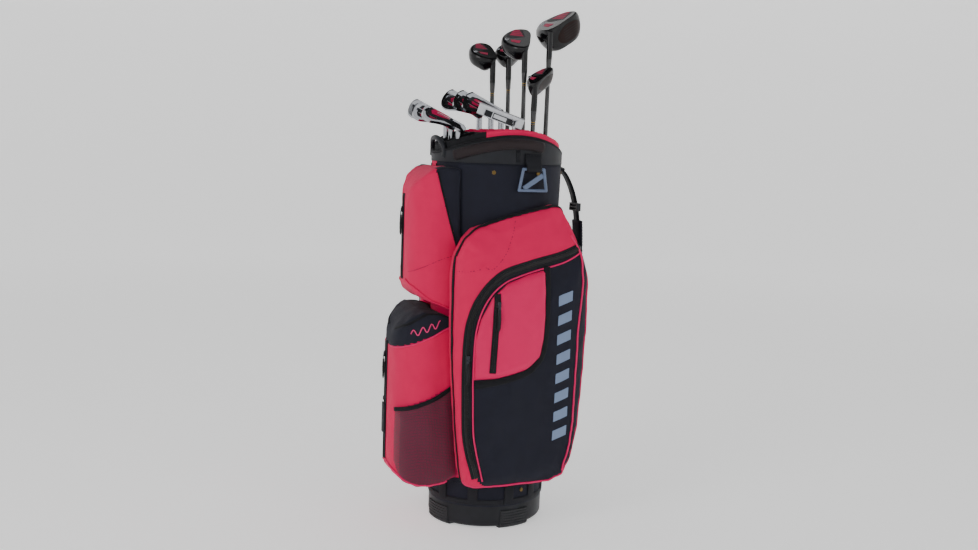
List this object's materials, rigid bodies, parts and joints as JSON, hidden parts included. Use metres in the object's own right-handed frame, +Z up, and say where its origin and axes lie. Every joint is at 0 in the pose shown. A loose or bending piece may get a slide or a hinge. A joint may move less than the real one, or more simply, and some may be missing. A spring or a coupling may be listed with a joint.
{
  "type": "golf club set in a cart bag",
  "caption": "Golf club set: a cart bag with padded divider top, pockets, zips, towel ring and strap, holding separate woods, hybrid, irons and a putter that each slide out.",
  "frame": {"origin": "centre of the base's underside, on the floor", "axes": "+Z up along the bag; -Y the bag's front with the accessory pockets; +Y its back with the shoulder strap; +X the side with the towel ring"},
  "size_m": [0.3471, 0.4489, 1.1364],
  "materials": {
    "moulded_base": "satin",
    "tread_rubber": "matte",
    "pink_fabric": "matte",
    "dark_fabric": "matte",
    "stay_metal": "satin",
    "collar_plastic": "satin",
    "divider_cloth": "matte",
    "fitting_metal": "satin",
    "handle_wrap": "satin",
    "ring_plastic": "satin",
    "webbing": "matte",
    "mesh": "matte",
    "zip_tape": "matte",
    "zip_metal": "polished",
    "wood_paint": "gloss",
    "iron_chrome": "polished",
    "putter_steel": "satin",
    "steel_shaft": "polished",
    "graphite_shaft": "gloss",
    "grip_rubber": "matte"
  },
  "bodies": {
    "bag": {"base_cup": "moulded_base", "base_treads": "tread_rubber", "body_tube": "dark_fabric", "frame_stays": "stay_metal", "top_collar": "collar_plastic", "divider_top": "pink_fabric", "divider_walls": "divider_cloth", "metal_fittings": "fitting_metal", "handle_bands": "handle_wrap", "towel_ring_loop": "webbing", "garment_pocket_right": "pink_fabric", "garment_pocket_left": "pink_fabric", "upper_front_pocket": "pink_fabric", "lower_front_pocket": "pink_fabric", "mesh_pockets": "mesh", "valuables_pocket": "pink_fabric", "zipper_tracks": "zip_tape", "shoulder_strap": "dark_fabric"},
    "driver": {"driver_head": "wood_paint", "driver_shaft": "graphite_shaft", "driver_grip": "grip_rubber"},
    "wood_3": {"wood_3_head": "wood_paint", "wood_3_shaft": "graphite_shaft", "wood_3_grip": "grip_rubber"},
    "wood_5": {"wood_5_head": "wood_paint", "wood_5_shaft": "graphite_shaft", "wood_5_grip": "grip_rubber"},
    "wood_7": {"wood_7_head": "wood_paint", "wood_7_shaft": "graphite_shaft", "wood_7_grip": "grip_rubber"},
    "hybrid": {"hybrid_head": "wood_paint", "hybrid_shaft": "graphite_shaft", "hybrid_grip": "grip_rubber"},
    "iron_6": {"iron_6_head": "iron_chrome", "iron_6_shaft": "steel_shaft", "iron_6_grip": "grip_rubber"},
    "iron_7": {"iron_7_head": "iron_chrome", "iron_7_shaft": "steel_shaft", "iron_7_grip": "grip_rubber"},
    "iron_8": {"iron_8_head": "iron_chrome", "iron_8_shaft": "steel_shaft", "iron_8_grip": "grip_rubber"},
    "iron_9": {"iron_9_head": "iron_chrome", "iron_9_shaft": "steel_shaft", "iron_9_grip": "grip_rubber"},
    "pitching_wedge": {"pitching_wedge_head": "iron_chrome", "pitching_wedge_shaft": "steel_shaft", "pitching_wedge_grip": "grip_rubber"},
    "sand_wedge": {"sand_wedge_head": "iron_chrome", "sand_wedge_shaft": "steel_shaft", "sand_wedge_grip": "grip_rubber"},
    "putter": {"putter_head": "putter_steel", "putter_shaft": "steel_shaft", "putter_grip": "grip_rubber"},
    "towel_ring": {"towel_ring": "ring_plastic"},
    "zip_garment_right": {"zip_garment_right": "zip_metal"},
    "zip_garment_left": {"zip_garment_left": "zip_metal"},
    "zip_valuables": {"zip_valuables": "zip_metal"},
    "zip_upper": {"zip_upper": "zip_metal"},
    "zip_lower": {"zip_lower": "zip_metal"}
  },
  "joints": [
    {"name": "driver_lift", "type": "slide", "parent": "bag", "child": "driver", "axis": [0, 0.007, 1], "range_m": [0, 0.87]},
    {"name": "wood_3_lift", "type": "slide", "parent": "bag", "child": "wood_3", "axis": [0, -0.0105, 0.9999], "range_m": [0, 0.87]},
    {"name": "wood_5_lift", "type": "slide", "parent": "bag", "child": "wood_5", "axis": [-0.007, -0.014, 0.9999], "range_m": [0, 0.87]},
    {"name": "wood_7_lift", "type": "slide", "parent": "bag", "child": "wood_7", "axis": [0, -0.014, 0.9999], "range_m": [0, 0.87]},
    {"name": "hybrid_lift", "type": "slide", "parent": "bag", "child": "hybrid", "axis": [0.0087, 0.0105, 0.9999], "range_m": [0, 0.87]},
    {"name": "iron_6_lift", "type": "slide", "parent": "bag", "child": "iron_6", "axis": [0, -0.0035, 1], "range_m": [0, 0.87]},
    {"name": "iron_7_lift", "type": "slide", "parent": "bag", "child": "iron_7", "axis": [0, -0.0035, 1], "range_m": [0, 0.87]},
    {"name": "iron_8_lift", "type": "slide", "parent": "bag", "child": "iron_8", "axis": [0, -0.0035, 1], "range_m": [0, 0.87]},
    {"name": "iron_9_lift", "type": "slide", "parent": "bag", "child": "iron_9", "axis": [0, -0.014, 0.9999], "range_m": [0, 0.87]},
    {"name": "pitching_wedge_lift", "type": "slide", "parent": "bag", "child": "pitching_wedge", "axis": [0, -0.014, 0.9999], "range_m": [0, 0.87]},
    {"name": "sand_wedge_lift", "type": "slide", "parent": "bag", "child": "sand_wedge", "axis": [0, -0.014, 0.9999], "range_m": [0, 0.87]},
    {"name": "putter_lift", "type": "slide", "parent": "bag", "child": "putter", "axis": [0.0087, 0, 1], "range_m": [0, 0.87]},
    {"name": "towel_ring_swing", "type": "hinge", "parent": "bag", "child": "towel_ring", "pos_m": [0.1375, 0.033, 0.786], "axis": [0, -1, 0], "range_deg": [0, 80]},
    {"name": "zip_garment_right_slide", "type": "slide", "parent": "bag", "child": "zip_garment_right", "axis": [0, 0, -1], "range_m": [0, 0.165]},
    {"name": "zip_garment_left_slide", "type": "slide", "parent": "bag", "child": "zip_garment_left", "axis": [0, 0, -1], "range_m": [0, 0.165]},
    {"name": "zip_valuables_slide", "type": "slide", "parent": "bag", "child": "zip_valuables", "axis": [0, 0, -1], "range_m": [0, 0.12]},
    {"name": "zip_upper_slide", "type": "slide", "parent": "bag", "child": "zip_upper", "axis": [0, 0, -1], "range_m": [0, 0.12]},
    {"name": "zip_lower_slide", "type": "slide", "parent": "bag", "child": "zip_lower", "axis": [0, 0, -1], "range_m": [0, 0.2]}
  ]
}
